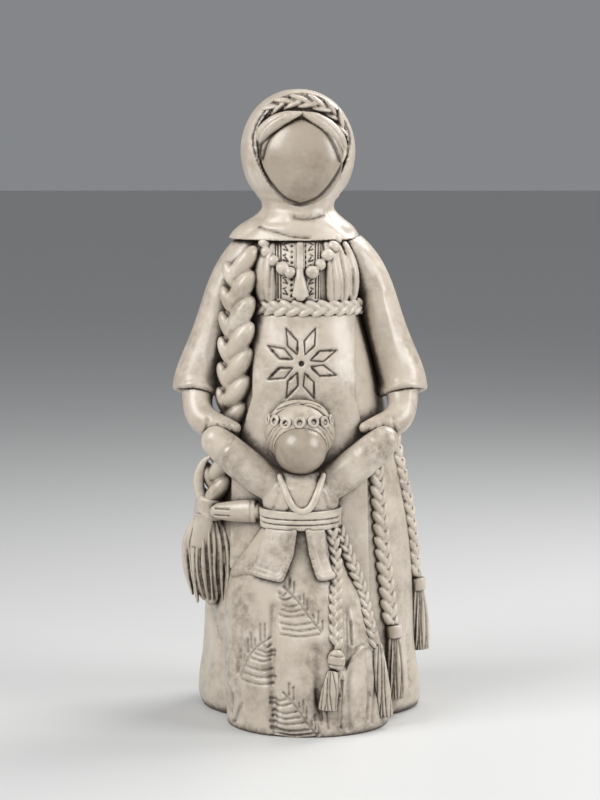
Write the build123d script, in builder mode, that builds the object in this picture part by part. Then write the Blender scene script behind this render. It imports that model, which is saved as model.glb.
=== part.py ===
"""Standing doll of a mother who leads a child by both hands, in cast and hand-toned ceramic.

Millimetres, +Z up, -Y is the front. The origin is on the floor under the figure, on the line
through the middle of the mother's face. Each modelled element of the casting is a piece of its
own, laid face to face on the pieces under it.
"""

import os
from math import asin, cos, degrees, radians, sin

from build123d import *

os.makedirs("parts", exist_ok=True)

# ---------------------------------------------------------------- driving dimensions
skirt_height = 97.4  # floor to the underside of the waist plait
waist_plait_height = 3.2
bodice_height = 15.4  # waist plait to the shoulder line
cape_height = 7.8  # shoulder line to the throat
hood_height = 28.6  # throat to the crown

hem_half_width = 26.7
hem_half_depth = 22.5
flare_swell = -0.2  # how much wider the skirt is just above its hem
knee_half_width = 24.8
belly_half_width = 17.3
belly_half_depth = 17.2
waist_half_width = 13.7
waist_half_depth = 13.3
shoulder_half_width = 13.5
shoulder_half_depth = 11.0
collar_half_width = 9.3
collar_half_depth = 8.0
hem_centre = (2.1, 8.0)  # where the skirt's oval sits on the floor
shoulder_centre = (-0.2, 5.0)

hood_half_width = 13.8
throat_half_width = 8.7
hood_centre = (-1.0, 5.0)
opening_half_width = 10.9
face_half_width = 10.0
face_half_height = 10.8
lock_radius = 1.7
crown_plait_radius = 1.35
cape_thickness = 1.5
scarf_point_drop = 26.0  # how far the scarf's point hangs down the back

sleeve_length = 38.0
sleeve_spread = 24.9  # from the middle of the figure to the middle of the cuff opening
cuff_half_width = 5.9
cuff_half_depth = 7.6
sleeve_wall = 1.1
cuff_tilt = 16.0  # degrees: the cuff opens down and forwards
forearm_radius = 3.5
hand_radius = 2.4

apron_thickness = 0.9
groove_width = 0.45
groove_depth = 0.45
star_radius = 8.3
star_eye_radius = 0.55
star_height = 86.2  # middle of the star above the floor
yoke_half_width = 5.2
yoke_thickness = 0.5
placket_half_width = 1.05
gather_thickness = 1.2
bead_radius = 1.15
pendant_radius = 1.7
pendant_length = 6.0

braid_half_width = 3.7
braid_tie_height = 3.6
braid_tassel_length = 21.0
cord_radius = 1.65
cord_tassel_length = 15.0

child_height = 60.6  # floor to the chin
child_belt_height = 47.6  # floor to the underside of the belt
child_hem_half_width = 19.3
child_hem_half_depth = 18.8
child_waist_half_width = 8.7
child_waist_half_depth = 8.0
child_head_radius = 6.2
child_hair_half_width = 8.3
child_arm_radius = 4.3
flower_radius = 1.35
flower_hole_radius = 0.5
jacket_thickness = 1.2
jacket_length = 11.2
belt_cord_radius = 1.15

# ---------------------------------------------------------------- levels above the floor
waist_z = skirt_height
bodice_z = waist_z + waist_plait_height
shoulder_z = bodice_z + bodice_height
throat_z = shoulder_z + cape_height - 1.6
crown_z = throat_z + hood_height
belly_z = 0.84 * skirt_height
cuff_z = shoulder_z - sleeve_length
hand_z = cuff_z - 9.0
face_z = throat_z + 0.42 * hood_height
child_head_z = child_height + 0.94 * child_head_radius
jacket_hem_z = child_belt_height - jacket_length
FAR = 90.0  # longer than the figure is deep, for cutters


def mix(low, high, share):
    """The value that lies a share of the way from low to high."""
    return low + (high - low) * share


# height, half width, half depth, centre x, centre y of the mother's ovals, from the floor up
mother_ovals = [
    (0, hem_half_width, hem_half_depth, hem_centre[0], hem_centre[1]),
    (0.12 * skirt_height, hem_half_width + flare_swell, hem_half_depth, *hem_centre),
    (0.27 * skirt_height, mix(hem_half_width, knee_half_width, 0.6), 21.2, 2.0, 8.0),
    (0.43 * skirt_height, knee_half_width, 20.0, 1.8, 7.6),
    (0.58 * skirt_height, mix(knee_half_width, belly_half_width, 0.24), 18.8, 1.4, 7.0),
    (0.70 * skirt_height, mix(knee_half_width, belly_half_width, 0.52), 17.8, 1.1, 6.0),
    (belly_z, belly_half_width, belly_half_depth, 0.8, 5.0),
    (0.92 * skirt_height, mix(belly_half_width, waist_half_width, 0.5), 15.3, 0.6, 4.6),
    (waist_z, waist_half_width, waist_half_depth, 0.4, 4.6),
    (bodice_z + 0.4 * bodice_height, waist_half_width + 0.3, waist_half_depth + 0.2, 0.2, 4.8),
    (shoulder_z - 2.0, shoulder_half_width, shoulder_half_depth, *shoulder_centre),
    (shoulder_z + 3.0, collar_half_width, collar_half_depth, -0.6, 5.0),
]
child_ovals = [
    (0, child_hem_half_width, child_hem_half_depth, 1.4, -12.3),
    (0.25 * child_belt_height, child_hem_half_width + 0.2, child_hem_half_depth - 0.6, 0.8, -12.0),
    (0.50 * child_belt_height, child_hem_half_width - 1.2, child_hem_half_depth - 2.2, -0.6, -11.0),
    (jacket_hem_z, mix(child_waist_half_width, child_hem_half_width, 0.57), 13.2, -2.2, -10.4),
    (child_belt_height, child_waist_half_width, child_waist_half_depth, -0.4, -13.5),
    (mix(child_belt_height, child_height, 0.45), child_waist_half_width + 0.3, 8.0, -0.4, -13.5),
    (mix(child_belt_height, child_height, 0.75), child_waist_half_width - 0.7, 7.0, -0.4, -13.5),
    (child_height, 0.55 * child_waist_half_width, 4.6, -0.4, -13.5),
]


def oval_at(ovals, height):
    """Half width, half depth and centre of a figure's oval at any height."""
    for low, high in zip(ovals, ovals[1:]):
        if height <= high[0]:
            share = max(0.0, (height - low[0]) / (high[0] - low[0]))
            return [mix(a, b, share) for a, b in zip(low[1:], high[1:])]
    return list(ovals[-1][1:])


def on_oval(ovals, angle, height, lift=0.0):
    """A point on a figure's surface. Angle 0 is its front and 90 its +X side, in degrees."""
    half_width, half_depth, centre_x, centre_y = oval_at(ovals, height)
    turn = radians(angle)
    x = centre_x + (half_width + lift) * sin(turn)
    y = centre_y - (half_depth + lift) * cos(turn)
    return Vector(x, y, height)


def angle_at(ovals, x, height):
    """The angle at which a figure's front surface passes a given x."""
    half_width, _, centre_x, _ = oval_at(ovals, height)
    return degrees(asin(max(-1.0, min(1.0, (x - centre_x) / half_width))))


def eased(ovals, steps=3):
    """The same ovals with more between them, on a smooth curve, so that straight walls join them."""
    padded = [ovals[0], *ovals, ovals[-1]]
    fine = []
    for before, low, high, after in zip(padded, padded[1:], padded[2:], padded[3:]):
        for step in range(steps):
            t = step / steps
            fine.append([
                b + 0.5 * t * (c - a + t * (2 * a - 5 * b + 4 * c - d + t * (3 * b - a - 3 * c + d)))
                for a, b, c, d in zip(before, low, high, after)
            ])
            fine[-1][0] = mix(low[0], high[0], t)
    return [*fine, list(ovals[-1])]


def oval_loft(ovals, ease=0.0, ruled=False):
    """A solid through horizontal ovals, each larger by ease and wider than it is deep."""
    with BuildPart() as solid:
        for height, half_width, half_depth, centre_x, centre_y in ovals:
            with BuildSketch(Plane((centre_x, centre_y, height))):
                Ellipse(half_width + ease, half_depth + ease)
        loft(ruled=ruled)
    return solid.part


def tube(points, sizes, round_ends=True):
    """A solid along points. Sizes are (half width, half depth) across the path at each point."""
    with BuildPart() as solid:
        with BuildLine() as path:
            Spline(*points)
        edge = path.edges()[0]
        for point, (half_width, half_depth) in zip(points, sizes):
            along = edge % edge.param_at_point(point)
            across = Vector(0, 1, 0).cross(along)
            with BuildSketch(Plane(point, x_dir=across, z_dir=along)):
                Ellipse(half_width, half_depth)
        loft()
        if round_ends:
            for point, size in ((points[0], sizes[0]), (points[-1], sizes[-1])):
                with Locations(point):
                    Sphere(0.98 * min(size))
    return solid.part


def limb(points, radii):
    """A round tube with a radius at each of its points."""
    return tube(points, [(radius, radius) for radius in radii])


def egg(centre, half_width, half_depth, half_height):
    """A rounded egg, lofted through level ovals."""
    middle = Vector(centre)
    rings = []
    for climb in (-80, -62, -40, -15, 15, 40, 62, 80):
        reach = cos(radians(climb))
        height = middle.Z + half_height * sin(radians(climb))
        rings.append((height, half_width * reach, half_depth * reach, middle.X, middle.Y))
    return oval_loft(rings)


def front_prism(outline, low_y=-FAR, high_y=FAR):
    """A prism along Y whose outline is given as (x, z) points."""
    with BuildPart() as solid:
        with BuildSketch(Plane.XZ.offset(-high_y)):
            with BuildLine():
                Polyline(*outline, close=True)
            make_face()
        extrude(amount=high_y - low_y)
    return solid.part


def write(piece, name):
    """Labels a finished piece and writes its STEP file."""
    piece.part.label = name
    export_step(piece.part, f"parts/{name}.step")


# ---------------------------------------------------------------- mother: body and scarf
mother_form = oval_loft(mother_ovals)
with BuildPart() as mother_skirt:
    add(mother_form)
    split(bisect_by=Plane.XY.offset(waist_z), keep=Keep.BOTTOM)
write(mother_skirt, "mother_skirt")

with BuildPart() as mother_bodice:
    add(mother_form)
    split(bisect_by=Plane.XY.offset(waist_z), keep=Keep.TOP)
write(mother_bodice, "mother_bodice")

hood_profile = [
    (throat_half_width, 0.0),
    (0.80 * hood_half_width, 0.16 * hood_height),
    (0.96 * hood_half_width, 0.33 * hood_height),
    (hood_half_width, 0.50 * hood_height),
    (0.91 * hood_half_width, 0.70 * hood_height),
    (0.66 * hood_half_width, 0.88 * hood_height),
    (0.36 * hood_half_width, 0.97 * hood_height),
]
with BuildPart() as hood:
    with BuildSketch(Plane.XZ):
        with BuildLine():
            dome = Spline(*hood_profile, (0, hood_height), tangents=[(-0.2, 1), (-1, 0)])
            Polyline((0, hood_height), (0, 0), (throat_half_width, 0))
        make_face()
    revolve(axis=Axis.Z)
hood_solid = Pos(hood_centre[0], hood_centre[1], throat_z) * hood.part

# outline of the face opening, from its lowest point round by the +X side, about the face centre
opening_outline = [
    (0.0, -0.99 * face_half_height),
    (0.62 * opening_half_width, -0.62 * face_half_height),
    (0.97 * opening_half_width, 0.05 * face_half_height),
    (0.93 * opening_half_width, 0.75 * face_half_height),
    (0.60 * opening_half_width, 1.18 * face_half_height),
    (0.0, 1.42 * face_half_height),
    (-0.60 * opening_half_width, 1.18 * face_half_height),
    (-0.93 * opening_half_width, 0.75 * face_half_height),
    (-0.97 * opening_half_width, 0.05 * face_half_height),
    (-0.62 * opening_half_width, -0.62 * face_half_height),
]
with BuildPart() as opening:
    with BuildSketch(Plane((0, hood_centre[1] - 5.0, face_z), x_dir=(1, 0, 0), z_dir=(0, -1, 0))):
        with BuildLine():
            Spline(*opening_outline, periodic=True)
        make_face()
    extrude(amount=FAR)

cape_ovals = [
    (shoulder_z - 1.0, 1.18 * shoulder_half_width, 1.1 * shoulder_half_depth, -1.9, 5.0),
    (mix(shoulder_z, throat_z, 0.35), shoulder_half_width, shoulder_half_depth, -1.5, 5.0),
    (mix(shoulder_z, throat_z, 0.75), 1.15 * throat_half_width, 1.1 * throat_half_width, -1.1, 5.0),
    (throat_z, throat_half_width, throat_half_width, *hood_centre),
    (throat_z + 0.10 * hood_height, 0.72 * hood_half_width, 0.72 * hood_half_width, *hood_centre),
]
# the point of the cloth that hangs down the back
back_point = [
    (-1.15 * shoulder_half_width, shoulder_z + 1.0),
    (1.10 * shoulder_half_width, shoulder_z + 1.0),
    (-0.5, shoulder_z - scarf_point_drop),
]
scarf_point = oval_loft(mother_ovals, cape_thickness) & front_prism(back_point, low_y=hem_centre[1])
with BuildPart() as headscarf:
    add(oval_loft(cape_ovals))
    add(scarf_point)
    add(hood_solid)
    add(opening.part, mode=Mode.SUBTRACT)
    add(mother_form, mode=Mode.SUBTRACT)
write(headscarf, "headscarf")

# ---------------------------------------------------------------- mother: face and hair
face_front_y = hood_centre[1] - hood_half_width
with BuildPart() as mother_face:
    add(egg((-0.3, face_front_y + 5.2, face_z - 0.3), face_half_width, 5.4, face_half_height))
    add(headscarf.part, mode=Mode.SUBTRACT)
write(mother_face, "mother_face")


def around_face(side, angle, reach):
    """A point above the face, angle degrees from the top of the head, reach from its middle."""
    turn = radians(angle)
    x = -0.3 + side * reach * sin(turn)
    z = face_z + 1.03 * reach * cos(turn)
    drop = 0.055 * ((x + 0.3) ** 2 + 0.35 * (z - face_z) ** 2)
    return Vector(x, face_front_y + 0.9 + drop, z)


lock_angles = (8, 30, 52, 74, 92)
lock_radii = [share * lock_radius for share in (0.55, 0.95, 1.0, 0.85, 0.45)]
hair_locks = {}
for side, name in ((-1, "hair_lock_left"), (1, "hair_lock_right")):
    lock_points = [around_face(side, angle, face_half_height + 0.6) for angle in lock_angles]
    with BuildPart() as hair_lock:
        add(limb(lock_points, lock_radii))
        add(mother_face.part, mode=Mode.SUBTRACT)
        add(headscarf.part, mode=Mode.SUBTRACT)
    hair_locks[name] = hair_lock
    write(hair_lock, name)

crown_points = [around_face(1, angle, face_half_height + 3.2) for angle in (-62, -40, -14, 14, 40, 62)]
with BuildPart() as crown_plait:
    add(limb(crown_points, [crown_plait_radius] * len(crown_points)))
    for hair_lock in hair_locks.values():
        add(hair_lock.part, mode=Mode.SUBTRACT)
    add(mother_face.part, mode=Mode.SUBTRACT)
    add(headscarf.part, mode=Mode.SUBTRACT)
write(crown_plait, "crown_plait")


# ---------------------------------------------------------------- mother: bodice
def bodice_at(share):
    """Height of a share of the way from the waist plait to the shoulder line."""
    return mix(bodice_z, shoulder_z, share)


def on_mother(points):
    """Points on or over the mother's surface, given as (angle, height, lift)."""
    return [on_oval(mother_ovals, angle, height, lift) for angle, height, lift in points]


yoke_left = -yoke_half_width - 1.0
yoke_right = yoke_half_width - 1.0
yoke_outline = [
    (yoke_left, bodice_at(0.98)),
    (yoke_left, bodice_z),
    (yoke_right, bodice_z),
    (yoke_right, bodice_at(0.98)),
]
yoke_panel = oval_loft(mother_ovals, yoke_thickness) & front_prism(yoke_outline, high_y=0)
with BuildPart() as shirt_yoke:
    add(yoke_panel)
    for neighbour in (mother_form, headscarf.part):
        add(neighbour, mode=Mode.SUBTRACT)
write(shirt_yoke, "shirt_yoke")

placket_outline = [
    (-placket_half_width - 0.5, bodice_at(0.97)),
    (-placket_half_width - 0.5, bodice_at(0.5)),
    (placket_half_width - 0.5, bodice_at(0.5)),
    (placket_half_width - 0.5, bodice_at(0.97)),
]
placket_strip = oval_loft(mother_ovals, 2 * yoke_thickness) & front_prism(placket_outline, high_y=0)
with BuildPart() as shirt_placket:
    add(placket_strip)
    for neighbour in (mother_form, shirt_yoke.part, headscarf.part):
        add(neighbour, mode=Mode.SUBTRACT)
write(shirt_placket, "shirt_placket")

gathers = {}
for name, angles in (("bodice_gathers_left", (-44, -33)), ("bodice_gathers_right", (29, 41, 54))):
    with BuildPart() as bodice_gathers:
        for angle in angles:
            fold = on_mother([
                (angle, bodice_at(0.02), 0.1),
                (angle, bodice_at(0.45), 0.4),
                (0.9 * angle, bodice_at(0.85), -0.2),
            ])
            add(limb(fold, (gather_thickness, 1.25 * gather_thickness, 0.8 * gather_thickness)))
        for neighbour in (mother_form, shirt_yoke.part, headscarf.part):
            add(neighbour, mode=Mode.SUBTRACT)
        split(bisect_by=Plane.XY.offset(bodice_z), keep=Keep.TOP)
    gathers[name] = bodice_gathers.part
    write(bodice_gathers, name)

beads_a_side = 4
with BuildPart() as bead_necklace:
    for side in (-1, 1):
        for number in range(beads_a_side):
            share = number / (beads_a_side - 1)
            spot = (side * mix(13, 47, share) - 3, bodice_at(mix(0.46, 0.84, share)), 0.9 * bead_radius)
            add(egg(on_mother([spot])[0], bead_radius, bead_radius, bead_radius))
    for neighbour in (mother_form, shirt_yoke.part, shirt_placket.part, headscarf.part, *gathers.values()):
        add(neighbour, mode=Mode.SUBTRACT)
write(bead_necklace, "bead_necklace")

pendant_top = bodice_at(0.49)
pendant_line = on_mother([
    (-2.6, pendant_top, yoke_thickness),
    (-2.6, pendant_top - 0.35 * pendant_length, 1.5 * yoke_thickness),
    (-2.6, pendant_top - pendant_length, 1.5 * yoke_thickness),
])
pendant_sizes = [(0.5 * pendant_radius, 0.8), (0.55 * pendant_radius, 1.0), (pendant_radius, 1.1)]
with BuildPart() as necklace_pendant:
    add(tube(pendant_line, pendant_sizes))
    for neighbour in (mother_form, shirt_yoke.part, shirt_placket.part, bead_necklace.part):
        add(neighbour, mode=Mode.SUBTRACT)
write(necklace_pendant, "necklace_pendant")

waist_slab = front_prism([(-FAR, waist_z), (FAR, waist_z), (FAR, bodice_z), (-FAR, bodice_z)])
waist_ring = oval_loft(mother_ovals, 0.45 * waist_plait_height) & waist_slab
with BuildPart() as waist_plait:
    add(waist_ring)
    add(mother_form, mode=Mode.SUBTRACT)
    add(headscarf.part, mode=Mode.SUBTRACT)
write(waist_plait, "waist_plait")

# ---------------------------------------------------------------- mother: apron with its cut star
apron_outline = [
    (-0.86 * waist_half_width, waist_z),
    (0.93 * waist_half_width, waist_z),
    (0.93 * waist_half_width, 0.80 * skirt_height),
    (0.62 * knee_half_width, 0.66 * skirt_height),
    (0.66 * knee_half_width, 0.21 * skirt_height),
    (-0.70 * knee_half_width, 0.37 * skirt_height),
    (-0.68 * knee_half_width, 0.62 * skirt_height),
    (-0.86 * waist_half_width, 0.80 * skirt_height),
]
petal_count = 8
petal_outline = [(0.28, 0.0), (0.60, 0.155), (1.0, 0.0), (0.60, -0.155)]
with BuildSketch() as petal:
    with BuildLine():
        Polyline(*[(reach * star_radius, side * star_radius) for reach, side in petal_outline], close=True)
    make_face()
    offset(amount=-groove_width, kind=Kind.INTERSECTION, mode=Mode.SUBTRACT)
star_plane = Plane((-0.2, 0, star_height), x_dir=(1, 0, 0), z_dir=(0, -1, 0))
with BuildPart() as star_cut:
    with BuildSketch(star_plane):
        with PolarLocations(0, petal_count, start_angle=180 / petal_count):
            add(petal.sketch)
        Circle(star_eye_radius)
    extrude(amount=FAR)
    add(oval_loft(mother_ovals, apron_thickness - groove_depth), mode=Mode.SUBTRACT)
apron_panel = oval_loft(mother_ovals, apron_thickness) & front_prism(apron_outline, high_y=2.0)
with BuildPart() as apron:
    add(apron_panel)
    add(mother_form, mode=Mode.SUBTRACT)
    add(star_cut.part, mode=Mode.SUBTRACT)
write(apron, "apron")

# ---------------------------------------------------------------- mother: braid down her right side
braid_line = on_mother([
    (-53.0, mix(bodice_z, shoulder_z, 0.80), 4.0),
    (-57.0, mix(bodice_z, shoulder_z, 0.29), 4.4),
    (-58.7, 0.975 * skirt_height, 4.5),
    (-60.0, 0.883 * skirt_height, 3.2),
    (-59.0, 0.780 * skirt_height, 2.0),
    (-60.8, 0.698 * skirt_height, 1.9),
    (-62.9, 0.626 * skirt_height, 2.2),
    (-64.0, 0.534 * skirt_height, 2.3),
])
braid_sizes = [(share * braid_half_width, 0.85 * share * braid_half_width)
               for share in (0.8, 1.0, 0.98, 1.0, 0.95, 0.85, 0.9, 0.75)]
with BuildPart() as long_braid:
    add(tube(braid_line, braid_sizes))
    braid_neighbours = (mother_form, headscarf.part, waist_plait.part, apron.part, bead_necklace.part,
                        *gathers.values())
    for neighbour in braid_neighbours:
        add(neighbour, mode=Mode.SUBTRACT)
write(long_braid, "long_braid")

tie_low, tie_high = on_mother([
    (-65.0, 0.534 * skirt_height - braid_tie_height, 2.6),
    (-64.0, 0.534 * skirt_height, 2.3),
])
with BuildPart() as braid_tie:
    add(tube([tie_high, (tie_high + tie_low) / 2, tie_low], [(0.82 * braid_half_width, 0.8 * braid_half_width)] * 3,
             round_ends=False))
    for neighbour in (mother_form, long_braid.part):
        add(neighbour, mode=Mode.SUBTRACT)
write(braid_tie, "braid_tie")

tassel_top = 0.534 * skirt_height - braid_tie_height
tassel_line = on_mother([
    (-65.0, tassel_top, 2.6),
    (-64.5, tassel_top - 0.4 * braid_tassel_length, 2.2),
    (-64.0, tassel_top - 0.75 * braid_tassel_length, 1.7),
    (-63.0, tassel_top - braid_tassel_length, 1.3),
])
with BuildPart() as braid_tassel:
    add(tube(tassel_line, [(0.75 * braid_half_width, 2.4), (1.3 * braid_half_width, 2.7),
                           (1.25 * braid_half_width, 2.3), (0.6 * braid_half_width, 1.5)]))
    for neighbour in (mother_form, apron.part, long_braid.part, braid_tie.part):
        add(neighbour, mode=Mode.SUBTRACT)
write(braid_tassel, "braid_tassel")

ribbon_thickness = 0.7
loop_line = on_mother([
    (-68.0, tassel_top + 0.5, 4.5),
    (-74.0, tassel_top - 0.28 * braid_tassel_length, 4.3),
    (-74.0, tassel_top - 0.55 * braid_tassel_length, 3.5),
])
tail_line = on_mother([
    (-60.0, tassel_top + 0.3, 5.0),
    (-61.0, tassel_top - 0.18 * braid_tassel_length, 5.2),
    (-62.0, tassel_top - 0.36 * braid_tassel_length, 5.2),
])
ribbons = []
for name, line, half_width in (("tie_ribbon_loop", loop_line, 1.2), ("tie_ribbon_tail", tail_line, 2.2)):
    with BuildPart() as ribbon:
        add(tube(line, [(half_width, ribbon_thickness)] * len(line)))
        for neighbour in (mother_form, long_braid.part, braid_tie.part, braid_tassel.part, *ribbons):
            add(neighbour, mode=Mode.SUBTRACT)
    ribbons.append(ribbon.part)
    write(ribbon, name)

# ---------------------------------------------------------------- mother: sleeves and hands
bodice_neighbours = (mother_form, headscarf.part, waist_plait.part, apron.part, long_braid.part,
                     *gathers.values())
cuff_fall = Vector(0, -sin(radians(cuff_tilt)), -cos(radians(cuff_tilt)))
arm_middle = Plane.YZ.offset(-0.5)  # the arms mirror each other across this plane
sleeve_line = [
    Vector(-0.28 * sleeve_spread - 0.5, 5.0, shoulder_z + 0.5),
    Vector(-0.46 * sleeve_spread - 0.5, 5.0, shoulder_z - 3.0),
    Vector(-0.66 * sleeve_spread - 0.5, 4.8, shoulder_z - 0.27 * sleeve_length),
    Vector(-0.80 * sleeve_spread - 0.5, 4.2, shoulder_z - 0.53 * sleeve_length),
    Vector(-0.92 * sleeve_spread - 0.5, 3.4, shoulder_z - 0.77 * sleeve_length),
    Vector(-sleeve_spread - 0.5, 2.2, cuff_z),
]
sleeve_sizes = [
    (across * cuff_half_width, along * cuff_half_depth)
    for across, along in ((0.40, 0.55), (0.68, 0.85), (0.80, 0.92), (0.82, 0.93), (0.90, 0.97), (1.0, 1.0))
]
cavity_line = [mix(sleeve_line[3], sleeve_line[4], 0.6), *sleeve_line[4:], sleeve_line[5] + 2.0 * cuff_fall]
cavity_sizes = [
    (0.45 * cuff_half_width, 0.55 * cuff_half_depth),
    (0.70 * cuff_half_width, 0.80 * cuff_half_depth),
    (cuff_half_width - sleeve_wall, cuff_half_depth - sleeve_wall),
    (cuff_half_width - sleeve_wall, cuff_half_depth - sleeve_wall),
]
hand_line = [
    Vector(-0.96 * sleeve_spread - 0.5, 1.5, cuff_z + 6.0),
    Vector(-0.99 * sleeve_spread - 0.5, -3.0, cuff_z - 2.5),
    Vector(-0.88 * sleeve_spread - 0.5, -6.8, hand_z + 2.4),
    Vector(-0.73 * sleeve_spread - 0.5, -9.0, hand_z + 1.8),
    Vector(-0.62 * sleeve_spread - 0.5, -10.5, hand_z + 1.6),
]
hand_radii = (forearm_radius, forearm_radius, 0.95 * forearm_radius, hand_radius, 0.55 * hand_radius)
sleeve_outside = tube(sleeve_line, sleeve_sizes, round_ends=False)
sleeve_inside = tube(cavity_line, cavity_sizes, round_ends=False)
whole_hand = limb(hand_line, hand_radii)
sleeves = {}
hands = {}
for side, facing in (("left", sleeve_outside), ("right", sleeve_outside.mirror(arm_middle))):
    inside = sleeve_inside if side == "left" else sleeve_inside.mirror(arm_middle)
    side_hand = whole_hand if side == "left" else whole_hand.mirror(arm_middle)
    with BuildPart() as sleeve:
        add(facing)
        add(inside, mode=Mode.SUBTRACT)
        for neighbour in bodice_neighbours:
            add(neighbour, mode=Mode.SUBTRACT)
    sleeves[side] = sleeve.part
    write(sleeve, f"sleeve_{side}")

    with BuildPart() as hand:
        add(side_hand)
        for neighbour in (*bodice_neighbours, sleeves[side]):
            add(neighbour, mode=Mode.SUBTRACT)
    hands[side] = hand.part
    write(hand, f"hand_{side}")

# ---------------------------------------------------------------- mother: cords with tassels
mother_cords = {
    "inner_cord": ((47.4, 46.5, 45.3, 46.3, 48.5), 0.62, 0.225, 1.0),
    "outer_cord": ((78.0, 80.0, 82.0, 83.0, 83.5), 0.69, 0.322, 1.2),
}
cord_solids = []
for name, (angles, top_share, ferrule_share, lift) in mother_cords.items():
    cord_top = top_share * skirt_height
    ferrule_top = ferrule_share * skirt_height
    heights = [mix(cord_top, ferrule_top, number / (len(angles) - 1)) for number in range(len(angles))]
    cord_line = on_mother([(angle, height, lift) for angle, height in zip(angles, heights)])
    end_angle = angles[-1]
    ferrule_height = 2.7
    ferrule_line = on_mother([(end_angle, ferrule_top - step * ferrule_height, lift) for step in (0, 0.5, 1)])
    tassel_start = ferrule_top - ferrule_height
    end_line = on_mother([(end_angle, tassel_start - step * cord_tassel_length, lift - 0.3) for step in (0, 0.5, 1)])
    end_sizes = [(cord_radius, cord_radius), (1.5 * cord_radius, 1.1 * cord_radius),
                 (1.3 * cord_radius, 0.9 * cord_radius)]
    pieces = (
        (name, tube(cord_line, [(cord_radius, cord_radius)] * len(cord_line), round_ends=False)),
        (name + "_ferrule", tube(ferrule_line, [(1.15 * cord_radius, 1.15 * cord_radius)] * 3, round_ends=False)),
        (name + "_tassel", tube(end_line, end_sizes, round_ends=False)),
    )
    for piece_name, solid in pieces:
        with BuildPart() as cord_piece:
            add(solid)
            for neighbour in (mother_form, apron.part, hands["right"], sleeves["right"], *cord_solids):
                add(neighbour, mode=Mode.SUBTRACT)
        cord_solids.append(cord_piece.part)
        write(cord_piece, piece_name)

# ---------------------------------------------------------------- child: body, arms and belt
child_form = oval_loft(eased(child_ovals, 2), ruled=True)
child_backing = (mother_form, apron.part, braid_tassel.part, *cord_solids)
belt_top = child_belt_height + 4.4
with BuildPart() as child_skirt:
    add(child_form)
    split(bisect_by=Plane.XY.offset(child_belt_height), keep=Keep.BOTTOM)
    for neighbour in child_backing:
        add(neighbour, mode=Mode.SUBTRACT)
write(child_skirt, "child_skirt")

with BuildPart() as child_torso:
    add(child_form)
    split(bisect_by=Plane.XY.offset(child_belt_height), keep=Keep.TOP)
    for neighbour in child_backing:
        add(neighbour, mode=Mode.SUBTRACT)
write(child_torso, "child_torso")

belt_outline = [(-FAR, child_belt_height), (FAR, child_belt_height), (FAR, belt_top), (-FAR, belt_top)]
belt_ring = oval_loft(child_ovals[3:], 0.8, ruled=True) & front_prism(belt_outline)
with BuildPart() as child_belt:
    add(belt_ring)
    for neighbour in (child_form, *child_backing):
        add(neighbour, mode=Mode.SUBTRACT)
write(child_belt, "child_belt")

child_shoulder = Vector(-0.62 * child_waist_half_width - 0.5, -13.5, child_height - 3.6)
child_grip = Vector(-0.80 * sleeve_spread - 0.5, -11.0, hand_z - 1.5)
arm_line = [
    child_shoulder,
    mix(child_shoulder, child_grip, 0.34) + Vector(0, -0.4, -0.8),
    mix(child_shoulder, child_grip, 0.67) + Vector(0, -0.4, -0.6),
    child_grip,
]
arm_radii = (child_arm_radius, 0.98 * child_arm_radius, 0.96 * child_arm_radius, 0.86 * child_arm_radius)
whole_arm = limb(arm_line, arm_radii)
child_arms = {}
for side in ("left", "right"):
    side_arm = whole_arm if side == "left" else whole_arm.mirror(arm_middle)
    with BuildPart() as child_arm:
        add(side_arm)
        for neighbour in (child_form, *child_backing, long_braid.part, hands[side], child_belt.part):
            add(neighbour, mode=Mode.SUBTRACT)
    child_arms[side] = child_arm.part
    write(child_arm, f"child_arm_{side}")

# ---------------------------------------------------------------- child: head
with BuildPart() as child_face:
    add(egg((-0.4, -16.2, child_head_z), child_head_radius, 6.6, child_head_radius))
    for neighbour in (child_form, *child_backing, *child_arms.values(), *hands.values()):
        add(neighbour, mode=Mode.SUBTRACT)
write(child_face, "child_face")

hair_middle = Vector(-0.6, -12.5, child_head_z + 3.2)
hair_half_depth = 7.5
hair_half_height = 7.8
with BuildPart() as child_hair:
    add(egg(hair_middle, child_hair_half_width, hair_half_depth, hair_half_height))
    for neighbour in (child_form, child_face.part, *child_backing, *child_arms.values(), *hands.values()):
        add(neighbour, mode=Mode.SUBTRACT)
write(child_hair, "child_hair")

flower_count = 7
flower_height = 0.42 * hair_half_height
flower_reach = (1 - (flower_height / hair_half_height) ** 2) ** 0.5
ring_radius = (flower_radius + flower_hole_radius) / 2
with BuildPart() as flower_band:
    for number in range(flower_count):
        turn = radians(mix(-76, 76, number / (flower_count - 1)))
        outward = Vector(sin(turn), -cos(turn), 0.1)
        spot = hair_middle + Vector(
            (child_hair_half_width * flower_reach + 0.1) * sin(turn),
            -(hair_half_depth * flower_reach + 0.1) * cos(turn),
            flower_height,
        )
        with Locations(Plane(spot, z_dir=outward)):
            Torus(ring_radius, (flower_radius - flower_hole_radius) / 2)
    for neighbour in (child_face.part, child_hair.part, *child_arms.values(), *hands.values()):
        add(neighbour, mode=Mode.SUBTRACT)
write(flower_band, "flower_band")

crest_radius = 0.9
crest_points = ((-0.66, 0.60), (-0.40, 0.86), (0.0, 0.93), (0.40, 0.86), (0.72, 0.56))
crest_line = [
    hair_middle + Vector(across * child_hair_half_width, -0.32 * hair_half_depth, up * hair_half_height)
    for across, up in crest_points
]
with BuildPart() as child_hair_crest:
    add(limb(crest_line, [crest_radius] * len(crest_line)))
    for neighbour in (child_hair.part, child_face.part, flower_band.part, *child_backing):
        add(neighbour, mode=Mode.SUBTRACT)
write(child_hair_crest, "child_hair_crest")

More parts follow.
